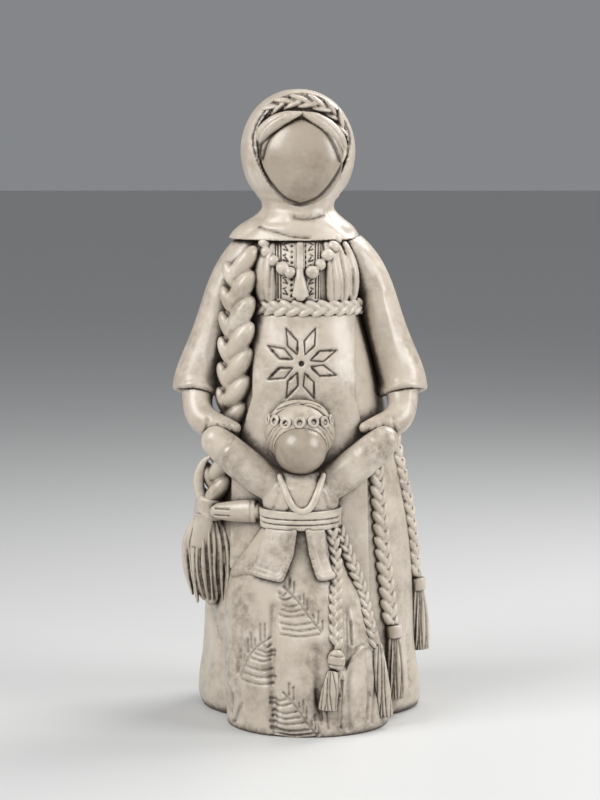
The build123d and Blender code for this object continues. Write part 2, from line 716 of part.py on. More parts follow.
# ---------------------------------------------------------------- child: trims
torso_height = child_height - child_belt_height
trim_radius = 0.85
trim_spots = ((-68, 0.93), (-24, 0.66), (-9, 0.40), (2, 0.33), (15, 0.40), (28, 0.70), (70, 0.93))
trim_line = [
    on_oval(child_ovals, angle, child_belt_height + share * torso_height, 0.3 * trim_radius)
    for angle, share in trim_spots
]
with BuildPart() as neck_trim:
    add(limb(trim_line, [trim_radius] * len(trim_line)))
    for neighbour in (child_form, child_belt.part, child_face.part, child_hair.part, *child_arms.values()):
        add(neighbour, mode=Mode.SUBTRACT)
write(neck_trim, "neck_trim")

left_tail = [(-0.20, 0.0), (-0.30, 0.5), (-0.56, 1.0), (-1.38, 0.90), (-1.12, 0.35), (-0.98, 0.0)]
right_tail = [(0.15, 0.0), (0.26, 0.5), (0.46, 1.0), (0.88, 1.0), (0.64, 0.5), (0.60, 0.0)]
tail_shell = oval_loft(eased(child_ovals[2:5], 2), jacket_thickness, ruled=True)
tails = []
for name, outline in (("jacket_tail_left", left_tail), ("jacket_tail_right", right_tail)):
    tail_outline = [
        (across * child_waist_half_width, child_belt_height - down * jacket_length) for across, down in outline
    ]
    tail_panel = tail_shell & front_prism(tail_outline, high_y=-8.0)
    with BuildPart() as jacket_tail:
        add(tail_panel)
        for neighbour in (child_form, child_belt.part, *child_backing):
            add(neighbour, mode=Mode.SUBTRACT)
    tails.append(jacket_tail.part)
    write(jacket_tail, name)


def on_child(points):
    """Points over the child's surface, given as (x, share of the belt's height, lift)."""
    return [
        on_oval(child_ovals, angle_at(child_ovals, x, share * child_belt_height), share * child_belt_height, lift)
        for x, share, lift in points
    ]


# ---------------------------------------------------------------- child: hanging belt cords
short_cord = on_child([(6.5, 0.985, 1.6), (7.6, 0.75, 1.5), (7.7, 0.60, 1.0), (7.9, 0.43, 0.8)])
long_cord = on_child([(8.0, 0.985, 1.0), (12.0, 0.78, 1.0), (13.6, 0.66, 0.8), (15.2, 0.52, 0.8), (16.3, 0.42, 0.8)])
knot_middle = on_child([(7.7, 0.375, 0.8)])[0]
short_tassel_line = on_child([(7.0, 0.32, 0.6), (6.3, 0.23, 0.6), (5.8, 0.14, 0.5)])
long_tassel_line = on_child([(17.0, 0.41, 0.9), (18.0, 0.25, 0.7), (19.0, 0.06, 0.5)])
tassel_sizes = [(belt_cord_radius, belt_cord_radius), (1.6 * belt_cord_radius, 1.1 * belt_cord_radius),
                (1.8 * belt_cord_radius, belt_cord_radius)]
belt_pieces = (
    ("short_belt_cord", limb(short_cord, [belt_cord_radius] * len(short_cord))),
    ("short_cord_knot", egg(knot_middle, 2.0, 1.5, 2.5)),
    ("short_cord_tassel", tube(short_tassel_line, tassel_sizes, round_ends=False)),
    ("long_belt_cord", limb(long_cord, [belt_cord_radius] * len(long_cord))),
    ("long_cord_tassel", tube(long_tassel_line, tassel_sizes, round_ends=False)),
)
belt_solids = []
for name, solid in belt_pieces:
    with BuildPart() as belt_piece:
        add(solid)
        for neighbour in (child_form, child_belt.part, *tails, *child_backing, *belt_solids):
            add(neighbour, mode=Mode.SUBTRACT)
    belt_solids.append(belt_piece.part)
    write(belt_piece, name)

# ---------------------------------------------------------------- the small hand on the braid tie
clasp_height = child_belt_height + 3.0
clasp_line = on_mother([(-29, clasp_height, 1.5), (-45, clasp_height - 0.4, 3.0), (-52, clasp_height - 0.6, 4.4)])
with BuildPart() as clasping_hand:
    add(tube(clasp_line, [(2.7, 2.1), (2.3, 1.9), (1.8, 1.5)]))
    clasp_neighbours = (mother_form, apron.part, braid_tie.part, braid_tassel.part, long_braid.part,
                        *ribbons, child_form, child_belt.part, child_arms["left"], *tails)
    for neighbour in clasp_neighbours:
        add(neighbour, mode=Mode.SUBTRACT)
write(clasping_hand, "clasping_hand")
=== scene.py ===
# Cast figurine of a mother who leads a child by both hands: its looks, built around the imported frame
import math

import bpy
import numpy as np
from mathutils import Matrix, Vector
from mathutils.bvhtree import BVHTree


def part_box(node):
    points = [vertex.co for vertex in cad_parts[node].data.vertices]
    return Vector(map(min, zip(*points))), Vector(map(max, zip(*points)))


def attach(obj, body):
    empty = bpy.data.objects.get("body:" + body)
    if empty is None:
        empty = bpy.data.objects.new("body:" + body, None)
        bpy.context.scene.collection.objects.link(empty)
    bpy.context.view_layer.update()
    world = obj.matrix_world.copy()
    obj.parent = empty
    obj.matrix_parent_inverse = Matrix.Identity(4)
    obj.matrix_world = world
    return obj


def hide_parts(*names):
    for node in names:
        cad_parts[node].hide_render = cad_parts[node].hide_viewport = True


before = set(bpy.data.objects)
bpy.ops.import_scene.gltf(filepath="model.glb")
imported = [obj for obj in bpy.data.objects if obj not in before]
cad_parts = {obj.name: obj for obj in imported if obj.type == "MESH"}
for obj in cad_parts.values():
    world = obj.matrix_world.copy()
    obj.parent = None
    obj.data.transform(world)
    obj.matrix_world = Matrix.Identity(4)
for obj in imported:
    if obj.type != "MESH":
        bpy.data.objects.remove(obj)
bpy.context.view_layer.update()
mm = 0.001
print("stage: frame loaded")


# helpers that select, remesh and reshape a piece; their lengths are in mm
def selectOnly(*pieces):
    bpy.ops.object.select_all(action="DESELECT")
    for piece in pieces:
        piece.select_set(True)
    bpy.context.view_layer.objects.active = pieces[0]


def applyModifiers(piece):
    selectOnly(piece)
    for modifier in list(piece.modifiers):
        bpy.ops.object.modifier_apply(modifier=modifier.name)


def cloth(name, nodes, grain, passes=4, swell=0.0):  # a node's own shape, remeshed fine enough to work on
    copies = []
    for node in nodes:
        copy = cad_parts[node].copy()
        copy.data = copy.data.copy()
        bpy.context.collection.objects.link(copy)
        copy.parent = None
        copy.matrix_world = Matrix.Identity(4)
        copies.append(copy)
    selectOnly(*copies)
    if len(copies) > 1:
        bpy.ops.object.join()
    piece = bpy.context.view_layer.objects.active
    piece.name = name
    piece.data.name = name
    piece.data.materials.clear()
    selectOnly(piece)
    bpy.ops.object.mode_set(mode="EDIT")
    bpy.ops.mesh.select_all(action="SELECT")
    bpy.ops.mesh.remove_doubles(threshold=0.01 * mm)
    bpy.ops.object.mode_set(mode="OBJECT")
    return fuse(piece, grain, passes, swell)


def fuse(piece, grain, passes=4, swell=0.0):  # one skin over all its lumps, then softened
    remesh = piece.modifiers.new("skin", "REMESH")
    remesh.mode = "VOXEL"
    remesh.voxel_size = grain * mm
    applyModifiers(piece)
    if passes:
        soften = piece.modifiers.new("soften", "SMOOTH")
        soften.factor = 0.5
        soften.iterations = passes
        applyModifiers(piece)
    if swell:
        move(piece, np.full(len(piece.data.vertices), swell))
    return piece


def readPoints(piece):
    flat = np.empty(len(piece.data.vertices) * 3)
    piece.data.vertices.foreach_get("co", flat)
    return flat.reshape(-1, 3) / mm


def readNormals(piece):
    flat = np.empty(len(piece.data.vertices) * 3)
    piece.data.vertices.foreach_get("normal", flat)
    return flat.reshape(-1, 3)


def writePoints(piece, spots):
    piece.data.vertices.foreach_set("co", (spots * mm).ravel())
    piece.data.update()


def move(piece, amounts):  # pushes each vertex out along its normal, in mm
    writePoints(piece, readPoints(piece) + readNormals(piece) * np.asarray(amounts)[:, None])


def awayFrom(spots, line):  # distance in mm from each spot to a line drawn on the front, in x and z
    flat = spots[:, [0, 2]]
    best = np.full(len(flat), np.inf)
    for start, end in zip(line, line[1:]):
        a = np.array(start, float)
        b = np.array(end, float)
        run = b - a
        share = np.clip(((flat - a) @ run) / max(run @ run, 1e-9), 0, 1)
        best = np.minimum(best, np.linalg.norm(flat - a - share[:, None] * run, axis=1))
    return best


def bend(line, steps=6):  # a smooth line through a few points
    points = [np.array(point, float) for point in line]
    points = [2 * points[0] - points[1], *points, 2 * points[-1] - points[-2]]
    out = []
    for index in range(1, len(points) - 2):
        p0, p1, p2, p3 = points[index - 1:index + 3]
        for step in range(steps):
            t = step / steps
            out.append(0.5 * (2 * p1 + (p2 - p0) * t + (2 * p0 - 5 * p1 + 4 * p2 - p3) * t * t
                              + (3 * p1 - p0 - 3 * p2 + p3) * t ** 3))
    return out + [points[-2]]


def work(piece, lines, width, depth, side=-1, patinashade=0.0):  # presses (depth < 0) or raises lines on one side
    spots = readPoints(piece)
    facing = np.clip(side * readNormals(piece)[:, 1] * 2.5, 0, 1)
    amounts = np.zeros(len(spots))
    for line in lines:
        profile = np.exp(-(awayFrom(spots, line) / width) ** 2)
        amounts = np.maximum(amounts, profile)
    move(piece, amounts * depth * facing)
    # the darkness stored here is patina in narrow pressed lines and painted shade along wide folds
    if patinashade:
        darken(piece, amounts * facing * patinashade)


def darken(piece, amounts):  # remembers where patina settles in pressed lines and where painted shade darkens wide folds
    mesh = piece.data
    layer = mesh.attributes.get("hollow") or mesh.attributes.new("hollow", "FLOAT", "POINT")
    held = np.zeros(len(mesh.vertices))
    layer.data.foreach_get("value", held)
    layer.data.foreach_set("value", np.maximum(held, amounts))


def onSurface(trees, x, z, lift=0.0):  # where a ray from the front meets the pieces, in mm
    start = Vector((x, -200, z)) * mm
    best = None
    for tree in trees:
        hit = tree.ray_cast(start, Vector((0, 1, 0)))
        if hit[0] is not None and (best is None or hit[3] < best[3]):
            best = hit
    if best is None:
        return None
    return best[0] / mm + best[1] * lift


def follow(trees, line, sink, beyond=-2.0):  # lays a front line on the pieces, sunk in spot by spot
    route = []
    depth = None
    for (x, z), inward in zip(line, sink):
        hit = onSurface(trees, x, z)
        if hit:
            depth = hit.y  # a spot off the pieces keeps its neighbour's depth
        route.append([x, depth, z, inward])
    known = [spot[1] for spot in route if spot[1] is not None] or [beyond]
    return [Vector((x, (known[0] if y is None else y) + inward, z)) for x, y, z, inward in route]


def treeOf(piece):
    return BVHTree.FromObject(piece, bpy.context.evaluated_depsgraph_get())


def finishPiece(piece, slot, material, *nodes):
    selectOnly(piece)
    bpy.ops.object.shade_smooth()
    piece.data.materials.clear()
    piece.data.materials.append(material)
    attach(piece, "root")
    if nodes:
        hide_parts(*nodes)
    return piece


# camera, lamps and floor: places in mm, lamp sizes in m, powers in W
studio = {"eye": (-0.5, -672.0, 155.0), "pitch": 83.3, "lens": 125.8, "aim": (0, 0, 70),
          "lamps": {"key": {"place": (-330, -230, 400), "power": 2.25, "size": 0.3},
                    "side": {"place": (420, -150, 260), "power": 1.5, "size": 0.26},
                    "front": {"place": (-40, -460, 330), "power": 0.36, "size": 0.5},
                    "back": {"place": (220, 200, 400), "power": 1.5, "size": 0.22}},
          "sky": 0.25, "skyColour": (0.93, 0.96, 1.0, 1), "tableSize": 6,
          "tableColour": (0.62, 0.62, 0.61, 1), "tableRoughness": 0.45}


def makeStudio():
    bpy.ops.object.camera_add(location=Vector(studio["eye"]) * mm,
                              rotation=(math.radians(studio["pitch"]), 0, 0))
    camera = bpy.context.object
    camera.data.lens = studio["lens"]
    camera.data.clip_start = 0.01
    bpy.context.scene.camera = camera
    for name, light in studio["lamps"].items():
        place = Vector(light["place"]) * mm
        aim = (Vector(studio["aim"]) * mm - place).to_track_quat("-Z", "Y").to_euler()
        bpy.ops.object.light_add(type="AREA", location=place, rotation=aim)
        lamp = bpy.context.object
        lamp.name = name + "Light"
        lamp.data.energy = light["power"]
        lamp.data.size = light["size"]
    world = bpy.data.worlds.new("paleRoom")
    world.use_nodes = True
    world.node_tree.nodes["Background"].inputs["Color"].default_value = studio["skyColour"]
    world.node_tree.nodes["Background"].inputs["Strength"].default_value = studio["sky"]
    bpy.context.scene.world = world
    bpy.context.scene.view_settings.view_transform = "Standard"
    bpy.ops.mesh.primitive_plane_add(size=studio["tableSize"], location=(0, 0, 0))
    floor = bpy.context.object
    floor.name = "floor"
    paint = bpy.data.materials.new("paleTable")
    paint.use_nodes = True
    shader = paint.node_tree.nodes["Principled BSDF"]
    shader.inputs["Base Color"].default_value = studio["tableColour"]
    shader.inputs["Roughness"].default_value = studio["tableRoughness"]
    floor.data.materials.append(paint)


makeStudio()
print("stage: camera, light and floor")


# the cast finish with its patina and its painted shade; each pattern is its scale per m, its detail and its
# roughness, cornerReach is how far the painted shade reaches, and lengths are in mm
castLook = {"blotch": (95, 4, 0.55), "fine": (900, 5, 0.65), "speck": (2600, 2, 0.55), "stain": (420, 6, 0.7),
          "wear": (140, 3, 0.55), "cornerReach": 3.4, "bumpStrength": 0.35, "bumpDepth": 0.25, "ior": 1.5,
          "coatRoughness": 0.2}


def makeCastLookGroup():  # patina in the pressed lines, painted shade along wide folds and in corners and between pieces, worn pale patches, blotches and pits
    group = bpy.data.node_groups.new("castLookShaded", "ShaderNodeTree")
    for name, kind, value in (("Pale", "NodeSocketColor", (0.8, 0.7, 0.6, 1)),
                              ("Worn", "NodeSocketColor", (0.9, 0.8, 0.7, 1)),
                              ("Stain", "NodeSocketColor", (0.3, 0.2, 0.15, 1)),
                              ("Patinashade", "NodeSocketColor", (0.08, 0.05, 0.03, 1)),
                              ("Stain Amount", "NodeSocketFloat", 0.4),
                              ("Patinashade Amount", "NodeSocketFloat", 1.0)):
        socket = group.interface.new_socket(name=name, in_out="INPUT", socket_type=kind)
        socket.default_value = value
    for name, kind in (("Colour", "NodeSocketColor"), ("Roughness", "NodeSocketFloat"),
                       ("Normal", "NodeSocketVector")):
        group.interface.new_socket(name=name, in_out="OUTPUT", socket_type=kind)
    nodes = group.nodes
    links = group.links
    enter = nodes.new("NodeGroupInput")
    leave = nodes.new("NodeGroupOutput")
    place = nodes.new("ShaderNodeTexCoord")

    def noise(scale, detail, rough):
        node = nodes.new("ShaderNodeTexNoise")
        node.inputs["Scale"].default_value = scale
        node.inputs["Detail"].default_value = detail
        node.inputs["Roughness"].default_value = rough
        links.new(place.outputs["Object"], node.inputs["Vector"])
        return node.outputs["Fac"]

    def stretch(value, low, high, newLow=0.0, newHigh=1.0):
        node = nodes.new("ShaderNodeMapRange")
        node.inputs["From Min"].default_value = low
        node.inputs["From Max"].default_value = high
        node.inputs["To Min"].default_value = newLow
        node.inputs["To Max"].default_value = newHigh
        links.new(value, node.inputs["Value"])
        return node.outputs["Result"]

    def maths(kind, a, b):
        node = nodes.new("ShaderNodeMath")
        node.operation = kind
        for socket, value in zip(node.inputs, (a, b)):
            if isinstance(value, (int, float)):
                socket.default_value = value
            else:
                links.new(value, socket)
        return node.outputs[0]

    def blendIn(under, over, share):
        node = nodes.new("ShaderNodeMix")
        node.data_type = "RGBA"
        links.new(share, node.inputs[0])
        links.new(under, node.inputs[6])
        links.new(over, node.inputs[7])
        return node.outputs[2]

    hollow = nodes.new("ShaderNodeAttribute")
    hollow.attribute_name = "hollow"
    # painted shade: ambient occlusion darkens the colour wherever another surface lies within cornerReach, in
    # corners, creases and between pieces
    corner = nodes.new("ShaderNodeAmbientOcclusion")
    corner.samples = 8
    corner.inputs["Distance"].default_value = castLook["cornerReach"] * mm
    shade = maths("MAXIMUM", hollow.outputs["Fac"], stretch(corner.outputs["AO"], 0.94, 0.38))
    blotch = noise(*castLook["blotch"])
    fine = noise(*castLook["fine"])
    speck = noise(*castLook["speck"])
    stainMask = maths("MULTIPLY", stretch(blotch, 0.40, 0.60), enter.outputs["Stain Amount"])
    stainMask = maths("MULTIPLY", stainMask, stretch(noise(*castLook["stain"]), 0.40, 0.60, 0.15, 1.0))
    patinashadeMask = maths("ADD", shade, stretch(fine, 0.35, 0.7, -0.16, 0.16))
    patinashadeMask = stretch(patinashadeMask, 0.22, 0.78)
    patinashadeMask = maths("MULTIPLY", patinashadeMask, enter.outputs["Patinashade Amount"])
    pits = maths("MULTIPLY", stretch(speck, 0.68, 0.78), stretch(blotch, 0.45, 0.62, 0.0, 0.6))
    wornMask = maths("MULTIPLY", stretch(noise(*castLook["wear"]), 0.5, 0.68, 0.0, 0.6),
                     stretch(fine, 0.35, 0.6, 0.3, 1.0))
    colour = blendIn(enter.outputs["Pale"], enter.outputs["Stain"], stainMask)
    colour = blendIn(colour, enter.outputs["Worn"], wornMask)
    # the darkest colour goes on as patina in the pressed lines and as painted shade in creases, corners and
    # between pieces
    colour = blendIn(colour, enter.outputs["Patinashade"], maths("MAXIMUM", patinashadeMask, pits))
    links.new(colour, leave.inputs["Colour"])
    links.new(stretch(maths("ADD", patinashadeMask, fine), 0.3, 1.4, 0.30, 0.62), leave.inputs["Roughness"])
    bump = nodes.new("ShaderNodeBump")
    bump.inputs["Strength"].default_value = castLook["bumpStrength"]
    bump.inputs["Distance"].default_value = castLook["bumpDepth"] * mm
    links.new(maths("MULTIPLY", maths("ADD", fine, blotch), 0.6), bump.inputs["Height"])
    links.new(bump.outputs["Normal"], leave.inputs["Normal"])
    return group


castLookGroup = makeCastLookGroup()


def castMaterial(name, look):
    material = bpy.data.materials.new(name)
    material.use_nodes = True
    nodes = material.node_tree.nodes
    shader = nodes["Principled BSDF"]
    shader.inputs["IOR"].default_value = castLook["ior"]
    shader.inputs["Coat Weight"].default_value = look["coat"]
    shader.inputs["Coat Roughness"].default_value = castLook["coatRoughness"]
    castNode = nodes.new("ShaderNodeGroup")
    castNode.node_tree = castLookGroup
    for socket in ("Pale", "Worn", "Stain", "Patinashade"):
        castNode.inputs[socket].default_value = (*look[socket.lower()], 1)
    castNode.inputs["Stain Amount"].default_value = look["stainAmount"]
    castNode.inputs["Patinashade Amount"].default_value = look["patinashadeAmount"]
    for socket, target in (("Colour", "Base Color"), ("Roughness", "Roughness"), ("Normal", "Normal")):
        material.node_tree.links.new(castNode.outputs[socket], shader.inputs[target])
    return material


# the darkest colour of each finish serves both the patina in pressed lines and the painted shade in creases
# and corners
base = {"pale": (0.56, 0.485, 0.40), "worn": (0.74, 0.67, 0.585), "stain": (0.22, 0.172, 0.13),
        "patinashade": (0.045, 0.029, 0.019), "stainAmount": 0.5, "patinashadeAmount": 0.95, "coat": 0.28}
scarfFinish = castMaterial("scarfFinish", {**base, "stainAmount": 0.3})
skinFinish = castMaterial("skinFinish", {**base, "pale": (0.39, 0.325, 0.255), "worn": (0.47, 0.40, 0.325),
                                         "stainAmount": 0.6, "coat": 0.4})
handFinish = castMaterial("handFinish", {**base, "pale": (0.54, 0.465, 0.38)})
hairFinish = castMaterial("hairFinish", {**base, "pale": (0.55, 0.475, 0.385)})
dressFinish = castMaterial("dressFinish", base)
trimFinish = castMaterial("trimFinish", {**base, "pale": (0.62, 0.545, 0.455), "patinashadeAmount": 1.0})
cordFinish = castMaterial("cordFinish", {**base, "pale": (0.57, 0.495, 0.405), "patinashadeAmount": 1.0})
childFinish = castMaterial("childFinish", {**base, "pale": (0.55, 0.475, 0.39), "stainAmount": 0.75})
print("stage: finishes")


# plaits and tubes; a plait with a lead has every other strand further in, higher and larger
plaitShape = {"long": 1.55, "wide": 0.56, "deep": 0.66, "reach": 0.215, "leadIn": 0.055, "leadUp": 0.05,
              "leadSize": 0.13}


def makeLobe(name, length, width, depth):  # one strand of a plait as it shows on top: a fat leaf
    bpy.ops.object.select_all(action="DESELECT")
    bpy.ops.mesh.primitive_uv_sphere_add(segments=16, ring_count=12, radius=0.5 * mm)
    lobe = bpy.context.object
    lobe.name = name
    bpy.ops.object.mode_set(mode="EDIT")
    bpy.ops.mesh.select_all(action="SELECT")
    bpy.ops.transform.resize(value=(width, depth, length))
    bpy.ops.object.mode_set(mode="OBJECT")
    return lobe


def copyAt(master, spot, across, outward, along, turn=0.0, size=1.0):
    copy = master.copy()
    copy.data = master.data.copy()
    bpy.context.collection.objects.link(copy)
    basis = Matrix((across, -outward, along)).transposed().to_4x4()
    copy.data.transform(Matrix.Translation(Vector(spot) * mm) @ basis
                        @ Matrix.Rotation(turn, 4, "Y") @ Matrix.Scale(size, 4))
    return copy


def rope(name, route, radius, grain):  # a smooth round tube, laid along a route
    bpy.ops.object.select_all(action="DESELECT")
    bpy.ops.mesh.primitive_uv_sphere_add(segments=14, ring_count=10, radius=radius * mm)
    bead = bpy.context.object
    parts = []
    for spot, _, _ in evenSteps(route, radius * 0.35):
        copy = bead.copy()
        copy.data = bead.data.copy()
        bpy.context.collection.objects.link(copy)
        copy.data.transform(Matrix.Translation(Vector(spot) * mm))
        parts.append(copy)
    bpy.data.objects.remove(bead)
    return fuse(joinAll(name, parts), grain, 6)


def strand(name, route, radii, flat, grain):  # a tube whose radius swells and tapers along its route
    bpy.ops.object.select_all(action="DESELECT")
    bpy.ops.mesh.primitive_uv_sphere_add(segments=18, ring_count=12, radius=1.0 * mm)
    bead = bpy.context.object
    parts = []
    for spot, _, share in evenSteps(route, 0.3):
        size = float(np.interp(share, np.linspace(0, 1, len(radii)), radii))
        parts.append(copyAt(bead, spot, Vector((1, 0, 0)), Vector((0, -flat, 0)), Vector((0, 0, 1)), 0, size))
    bpy.data.objects.remove(bead)
    return fuse(joinAll(name, parts), grain, 8)


def joinAll(name, parts):
    selectOnly(*parts)
    if len(parts) > 1:
        bpy.ops.object.join()
    piece = bpy.context.view_layer.objects.active
    piece.name = name
    piece.data.name = name
    return piece


def evenSteps(route, step):  # spots, directions and shares at even distances along a smooth route
    line = [Vector(point) for point in bend(route, 10)]
    lengths = [0.0]
    for a, b in zip(line, line[1:]):
        lengths.append(lengths[-1] + (b - a).length)
    count = max(2, round(lengths[-1] / step))
    out = []
    for index in range(count + 1):
        want = lengths[-1] * index / count
        place = min(max(np.searchsorted(lengths, want), 1), len(line) - 1)
        span = max(lengths[place] - lengths[place - 1], 1e-9)
        share = (want - lengths[place - 1]) / span
        spot = line[place - 1].lerp(line[place], share)
        out.append((spot, (line[place] - line[place - 1]).normalized(), want / lengths[-1]))
    return out


def plait(name, route, outward, width, step, grain, tilt=-32.0, depth=None, taper=None, lead=0, skip=0):
    shape = plaitShape
    lobe = makeLobe("lobe", step * shape["long"], width * shape["wide"], depth or width * shape["deep"])
    parts = []
    for index, (spot, along, share) in enumerate(evenSteps(route, step / 2)):
        if index < skip:
            continue
        facing = Vector(outward(share) if callable(outward) else outward).normalized()
        across = along.cross(facing).normalized()
        facing = across.cross(along).normalized()
        size = taper(share) if taper else 1.0
        side = -1 if index % 2 else 1
        leads = side * lead
        reach = shape["reach"] - shape["leadIn"] * leads
        at = spot + across * side * width * reach * size + facing * shape["leadUp"] * width * leads
        parts.append(copyAt(lobe, at, across, facing, along, math.radians(side * tilt),
                            size * (1 + shape["leadSize"] * leads)))
    bpy.data.objects.remove(lobe)
    piece = joinAll(name, parts)
    return fuse(piece, grain, 2)


# the mother's skirt, bodice and apron; a line drawn on a piece is a list of (x, z) points
skirt = {"grain": 0.6, "middle": (2.0, 8.0), "foldCount": 11, "foldDepth": 0.85, "foldTop": 80.0,
         "foldFade": 60, "hemFade": 3, "foldSway": 0.6, "swayLength": 23, "foldSink": 0.55,
         "frontLines": [[(-22.5, 26), (-20.5, 19), (-17, 12)], [(21.5, 22), (22.5, 10), (22, 2)],
                        [(26, 18), (26.5, 6)]]}


def makeSkirt():
    piece = cloth("motherSkirt", ["mother_skirt"], skirt["grain"], passes=6, swell=0.05)
    spots = readPoints(piece)
    midX, midY = skirt["middle"]
    angle = np.arctan2(spots[:, 0] - midX, spots[:, 1] - midY)
    strength = (np.clip((skirt["foldTop"] - spots[:, 2]) / skirt["foldFade"], 0, 1)
                * np.clip(spots[:, 2] / skirt["hemFade"], 0, 1))
    sway = skirt["foldSway"] * np.sin(spots[:, 2] / skirt["swayLength"])
    wave = np.sin(skirt["foldCount"] * angle + sway) - skirt["foldSink"]
    behind = np.clip((spots[:, 1] + 2) / 10, 0, 1)  # the folds die out towards the front
    move(piece, wave * strength * behind * skirt["foldDepth"])
    work(piece, skirt["frontLines"], width=0.7, depth=-0.5, patinashade=0.35)
    return finishPiece(piece, "dress", dressFinish, "mother_skirt")


def makeBodice():
    piece = cloth("motherBodice", ["mother_bodice"], grain=0.4, passes=5, swell=0.05)
    return finishPiece(piece, "dress", dressFinish, "mother_bodice")


# the apron's star of petals: its middle, how far tips, corners and inner ends reach, and the scored line
apron = {"grain": 0.25, "starX": -0.2, "starZ": 86.2, "tip": 8.9, "corner": 5.3, "cornerTurn": 14.5,
         "inner": 2.4, "petals": 8, "line": 0.26, "cut": -0.5}


def petalLine(number):
    middle = 360 / apron["petals"] * (number + 0.5) + 4 * math.sin(number * 2.3)
    out = []
    for turn, reach in ((0, apron["tip"]), (apron["cornerTurn"], apron["corner"]), (0, apron["inner"]),
                        (-apron["cornerTurn"], apron["corner"]), (0, apron["tip"])):
        at = math.radians(middle + turn)
        out.append((apron["starX"] + reach * math.sin(at), apron["starZ"] + reach * math.cos(at)))
    return out


def makeApron():
    piece = cloth("apronCloth", ["apron"], apron["grain"], passes=16, swell=0.16)
    petals = [petalLine(number) for number in range(apron["petals"])]
    work(piece, petals, apron["line"], apron["cut"], patinashade=1.0)
    heart = [(apron["starX"], apron["starZ"]), (apron["starX"] + 0.05, apron["starZ"])]
    work(piece, [heart], width=0.5, depth=-0.8, patinashade=1.0)
    return finishPiece(piece, "dress", dressFinish, "apron")


# the mother's head; faceSink is how far the face's front goes back into the hood
head = {"faceSink": 0.9,
        "hairLine": [(-9.6, 134.4), (-8.3, 138.6), (-6.2, 141.2), (-3.6, 143.2), (-0.5, 144.6), (3.0, 142.9),
                     (6.1, 140.2), (8.2, 136.6), (9.1, 133.8)],
        "opening": [(-0.4, 123.3), (-4.5, 125.3), (-8.5, 130), (-11.4, 136), (-11.6, 141), (-8, 147),
                    (-3, 149.4), (2, 149.4), (7.5, 147), (11.2, 141), (11, 136), (8, 130), (4, 125.3),
                    (-0.4, 123.3)],
        "chinFolds": [[(-10.5, 118.3), (-6, 117), (-2, 116), (2, 115.7)],
                      [(-2, 120.6), (1.5, 120.2), (5, 121)]],
        "capeFolds": [[(6.5, 122), (9, 118.5), (11.5, 116.5)], [(-8.5, 122.5), (-11.5, 118), (-14.5, 115.8)],
                      [(-4, 119.6), (-8, 119.2)]],
        "backFolds": [[(-9, 130), (-6, 118), (-2, 104)], [(8, 130), (5, 118), (1, 104)],
                      [(-12, 121), (-8, 112)], [(11, 121), (7, 112)]]}


def makeScarf():
    piece = cloth("headscarfCloth", ["headscarf"], grain=0.42, passes=5, swell=0.05)
    work(piece, [bend(head["opening"])], width=1.3, depth=0.45)
    work(piece, [bend(head["opening"])], width=0.45, depth=-0.35, patinashade=0.9)
    work(piece, [bend(line) for line in head["chinFolds"]], width=0.4, depth=-0.5, patinashade=0.75)
    work(piece, [bend(line) for line in head["capeFolds"]], width=0.9, depth=-0.5)
    # a wide, shallow dip under the chin, darkened: painted shade
    work(piece, [bend(head["chinFolds"][1])], width=1.5, depth=-0.1, patinashade=0.4)
    work(piece, [bend(line) for line in head["backFolds"]], width=1.1, depth=-0.6, side=1)
    return finishPiece(piece, "scarf", scarfFinish, "headscarf")


def makeFace():
    piece = cloth("motherFace", ["mother_face"], grain=0.25, passes=10, swell=0.05)
    spots = readPoints(piece)
    spots[:, 1] += head["faceSink"] * np.clip(-spots[:, 1] / 4, 0, 1)
    writePoints(piece, spots)
    work(piece, [bend(head["opening"]), bend(head["hairLine"])], width=0.5, depth=-0.4, patinashade=1.0)
    return finishPiece(piece, "skin", skinFinish, "mother_face")


locks = {"left": {"line": [(-0.5, 145.2), (-3.8, 144.3), (-6.6, 142.8), (-9.1, 140.5), (-10.3, 137.6),
                           (-10.0, 134.4)],
                  "radii": (0.55, 1.5, 1.95, 1.9, 1.4, 0.5)},
         "right": {"line": [(-0.1, 145.2), (3.0, 144.0), (6.0, 141.9), (8.4, 139.2), (9.6, 136.4),
                            (9.4, 133.8)],
                   "radii": (0.55, 1.5, 1.95, 1.9, 1.35, 0.5)}}


def makeLocks(face):
    for word, lock in locks.items():
        trees = [treeOf(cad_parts["hair_lock_" + word]), face]
        route = follow(trees, lock["line"], [0.1 * radius for radius in lock["radii"]])
        piece = strand("hairLock" + word.capitalize(), route, lock["radii"], flat=0.85, grain=0.17)
        side = -1 if word == "left" else 1
        groove = [(x + side * 0.35, z + 0.5) for x, z in lock["line"][1:-1]]
        work(piece, [bend(groove)], width=0.28, depth=-0.16, patinashade=0.12)
        finishPiece(piece, "hair", hairFinish, "hair_lock_" + word)


crown = {"route": [(-10.5, 141.9), (-8.8, 144.6), (-5.2, 147.0), (0, 147.8), (4.6, 146.8), (7.8, 144.4),
                   (9.5, 141.6)],
         "width": 3.0, "step": 3.7, "sink": 1.25, "tilt": -20, "grain": 0.14}


def makeCrown():
    tree = treeOf(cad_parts["crown_plait"])
    route = follow([tree], crown["route"], [crown["sink"]] * len(crown["route"]))
    piece = plait("crownPlait", route, (0, -1, 0.1), crown["width"], crown["step"], crown["grain"],
                  crown["tilt"], depth=crown["width"])
    return finishPiece(piece, "hair", hairFinish, "crown_plait")


skirtPiece = makeSkirt()
bodicePiece = makeBodice()
makeApron()
makeScarf()
facePiece = makeFace()
makeLocks(treeOf(facePiece))
makeCrown()
print("stage: mother's body and head")


# the embroidered yoke: edges, rows, how far in its rails lie, and its two columns, each facing one way
yoke = {"left": -6.0, "right": 4.1, "low": 101.4, "high": 114.6, "rows": 5, "rails": (0.2, 0.9),
        "columns": ((-3.6, 1), (1.7, -1)), "seams": (-1.35, 0.3)}


